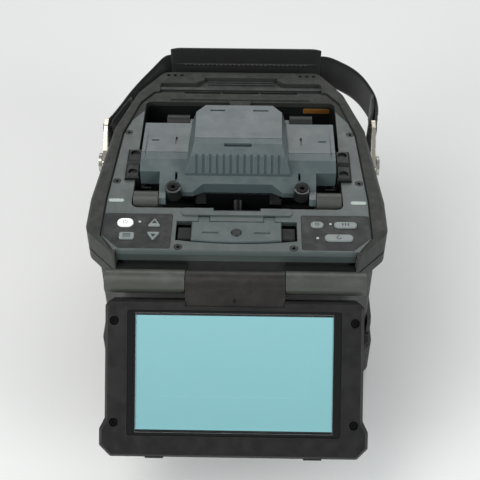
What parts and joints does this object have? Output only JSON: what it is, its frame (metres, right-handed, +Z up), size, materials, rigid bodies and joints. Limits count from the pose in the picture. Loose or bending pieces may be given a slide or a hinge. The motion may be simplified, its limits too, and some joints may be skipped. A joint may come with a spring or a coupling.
{
  "type": "fiber fusion splicer",
  "caption": "Rubber-framed portable splicer with a split wind cover over its splice bay, a sleeve heater, keypads, a tilting monitor, a sliding battery and a carrying strap.",
  "frame": {"origin": "mouth of the tripod socket in the middle of the base, level with the soles of the feet", "axes": "+X to the operator's right along the fibre line, +Y away from the operator towards the strap, +Z up out of the deck"},
  "size_m": [0.1762, 0.2675, 0.148],
  "materials": {
    "arc_power_unit": "potted block, satin",
    "base_tray": "fine moulded grain",
    "battery_catch": "satin",
    "battery_pack": "fine moulded grain",
    "bay_tub": "satin",
    "body_screws": "black oxide",
    "circuit_boards": "green solder mask",
    "connectors": "satin plating",
    "corner_boots": "matt",
    "cover_lamps": "white",
    "cover_screws": "black oxide",
    "deck_cover": "fine texture paint",
    "display_panel": "lit picture under glass",
    "down_button": "silicone rubber key",
    "drive_motors": "dark satin paint",
    "electrode_clamps": "satin",
    "electrodes": "tungsten",
    "fan_housing": "satin",
    "fan_rotor": "satin",
    "fibre_clamp_pads": "ceramic-faced",
    "fibre_guides": "matt",
    "heat_button": "silicone rubber key",
    "heater_clamps": "satin",
    "heater_lid": "fine texture paint",
    "heater_pan": "satin",
    "heater_plate": "anodised",
    "hinge_knuckles": "satin paint",
    "hinge_pins": "ground",
    "holder_stage_left": "dark anodised",
    "holder_stage_right": "dark anodised",
    "indicator_lamps": "translucent",
    "keypad_panels": "fine matt film",
    "lid_grip": "matt",
    "menu_button": "silicone rubber key",
    "microscopes": "black anodised",
    "monitor_arm": "satin paint",
    "monitor_back_shell": "fine moulded grain",
    "monitor_bezel": "fine moulded grain",
    "monitor_screws": "black oxide",
    "power_button": "lit translucent key",
    "rear_bar": "fine moulded grain",
    "reset_button": "silicone rubber key",
    "rubber_feet": "matt",
    "rubber_frame": "matt",
    "set_button": "silicone rubber key",
    "side_casing": "fine moulded grain",
    "socket_door": "matt",
    "splice_block": "anodised",
    "stage_rails": "ground",
    "strap_pad": "padded webbing with a light seam",
    "strap_posts": "black oxide",
    "strap_rings": "polished wire form",
    "strap_webbing": "woven nylon",
    "touch_glass": "clear, light coating",
    "tripod_socket": "satin",
    "up_button": "silicone rubber key",
    "v_groove_blocks": "fired ceramic",
    "vent_cover": "fine moulded grain",
    "wind_cover_front": "fine texture paint",
    "wind_cover_rear": "fine texture paint"
  },
  "bodies": {
    "main_body": {"arc_power_unit": "arc_power_unit", "base_tray": "base_tray", "bay_tub": "bay_tub", "body_screws": "body_screws", "circuit_boards": "circuit_boards", "connectors": "connectors", "corner_boots": "corner_boots", "deck_cover": "deck_cover", "drive_motors": "drive_motors", "electrode_clamps": "electrode_clamps", "electrodes": "electrodes", "fan_housing": "fan_housing", "fibre_guides": "fibre_guides", "heater_pan": "heater_pan", "heater_plate": "heater_plate", "hinge_knuckles": "hinge_knuckles", "hinge_pins": "hinge_pins", "indicator_lamps": "indicator_lamps", "keypad_panels": "keypad_panels", "microscopes": "microscopes", "rear_bar": "rear_bar", "rubber_feet": "rubber_feet", "rubber_frame": "rubber_frame", "side_casing": "side_casing", "splice_block": "splice_block", "stage_rails": "stage_rails", "strap_posts": "strap_posts", "tripod_socket": "tripod_socket", "v_groove_blocks": "v_groove_blocks", "vent_cover": "vent_cover"},
    "monitor": {"monitor_back_shell": "monitor_back_shell", "monitor_bezel": "monitor_bezel", "display_panel": "display_panel", "touch_glass": "touch_glass", "monitor_arm": "monitor_arm", "monitor_screws": "monitor_screws"},
    "wind_cover_rear_half": {"wind_cover_rear": "wind_cover_rear", "cover_lamps": "cover_lamps", "fibre_clamp_pads": "fibre_clamp_pads"},
    "wind_cover_front_half": {"wind_cover_front": "wind_cover_front", "cover_screws": "cover_screws"},
    "sleeve_heater_lid": {"heater_lid": "heater_lid", "lid_grip": "lid_grip", "heater_clamps": "heater_clamps"},
    "power_key": {"power_button": "power_button"},
    "menu_key": {"menu_button": "menu_button"},
    "up_key": {"up_button": "up_button"},
    "down_key": {"down_button": "down_button"},
    "set_key": {"set_button": "set_button"},
    "heat_key": {"heat_button": "heat_button"},
    "reset_key": {"reset_button": "reset_button"},
    "left_stage": {"holder_stage_left": "holder_stage_left"},
    "right_stage": {"holder_stage_right": "holder_stage_right"},
    "battery": {"battery_pack": "battery_pack"},
    "battery_thumb_catch": {"battery_catch": "battery_catch"},
    "side_door": {"socket_door": "socket_door"},
    "fan": {"fan_rotor": "fan_rotor"},
    "strap": {"strap_rings": "strap_rings", "strap_webbing": "strap_webbing", "strap_pad": "strap_pad"}
  },
  "joints": [
    {"name": "monitor_tilt", "type": "hinge", "parent": "main_body", "child": "monitor", "pos_m": [0, -0.096, 0.116], "axis": [-1, 0, 0], "range_deg": [-40, 136]},
    {"name": "rear_cover_open", "type": "hinge", "parent": "main_body", "child": "wind_cover_rear_half", "pos_m": [0, 0.033, 0.124], "axis": [-1, 0, 0], "range_deg": [0, 84]},
    {"name": "front_cover_open", "type": "hinge", "parent": "main_body", "child": "wind_cover_front_half", "pos_m": [0, -0.0395, 0.124], "axis": [1, 0, 0], "range_deg": [0, 74]},
    {"name": "heater_lid_open", "type": "hinge", "parent": "main_body", "child": "sleeve_heater_lid", "pos_m": [0, -0.0565, 0.1245], "axis": [-1, 0, 0], "range_deg": [0, 80]},
    {"name": "power_press", "type": "slide", "parent": "main_body", "child": "power_key", "axis": [0, 0, -1], "range_m": [0, 0.001], "stiffness_N_per_m": 300, "springref_m": -0.0003},
    {"name": "menu_press", "type": "slide", "parent": "main_body", "child": "menu_key", "axis": [0, 0, -1], "range_m": [0, 0.001], "stiffness_N_per_m": 300, "springref_m": -0.0003},
    {"name": "up_press", "type": "slide", "parent": "main_body", "child": "up_key", "axis": [0, 0, -1], "range_m": [0, 0.001], "stiffness_N_per_m": 300, "springref_m": -0.0003},
    {"name": "down_press", "type": "slide", "parent": "main_body", "child": "down_key", "axis": [0, 0, -1], "range_m": [0, 0.001], "stiffness_N_per_m": 300, "springref_m": -0.0003},
    {"name": "set_press", "type": "slide", "parent": "main_body", "child": "set_key", "axis": [0, 0, -1], "range_m": [0, 0.001], "stiffness_N_per_m": 300, "springref_m": -0.0003},
    {"name": "heat_press", "type": "slide", "parent": "main_body", "child": "heat_key", "axis": [0, 0, -1], "range_m": [0, 0.001], "stiffness_N_per_m": 300, "springref_m": -0.0003},
    {"name": "reset_press", "type": "slide", "parent": "main_body", "child": "reset_key", "axis": [0, 0, -1], "range_m": [0, 0.001], "stiffness_N_per_m": 300, "springref_m": -0.0003},
    {"name": "left_stage_feed", "type": "slide", "parent": "main_body", "child": "left_stage", "axis": [1, 0, 0], "range_m": [-0.003, 0.004]},
    {"name": "right_stage_feed", "type": "slide", "parent": "main_body", "child": "right_stage", "axis": [-1, 0, 0], "range_m": [-0.003, 0.004]},
    {"name": "battery_withdraw", "type": "slide", "parent": "main_body", "child": "battery", "axis": [-1, 0, 0], "range_m": [0, 0.095]},
    {"name": "battery_catch_slide", "type": "slide", "parent": "battery", "child": "battery_thumb_catch", "axis": [0, 1, 0], "range_m": [0, 0.006], "stiffness_N_per_m": 60, "springref_m": -0.001},
    {"name": "socket_door_open", "type": "hinge", "parent": "main_body", "child": "side_door", "pos_m": [0.0819, -0.053, 0.036], "axis": [0, 1, 0], "range_deg": [0, 100]},
    {"name": "fan_spin", "type": "hinge", "parent": "main_body", "child": "fan", "pos_m": [0, 0.074, 0.084], "axis": [0, 1, 0], "continuous": true},
    {"name": "strap_swing", "type": "hinge", "parent": "main_body", "child": "strap", "pos_m": [0, 0.008, 0.112], "axis": [1, 0, 0], "range_deg": [-8, 100]}
  ]
}
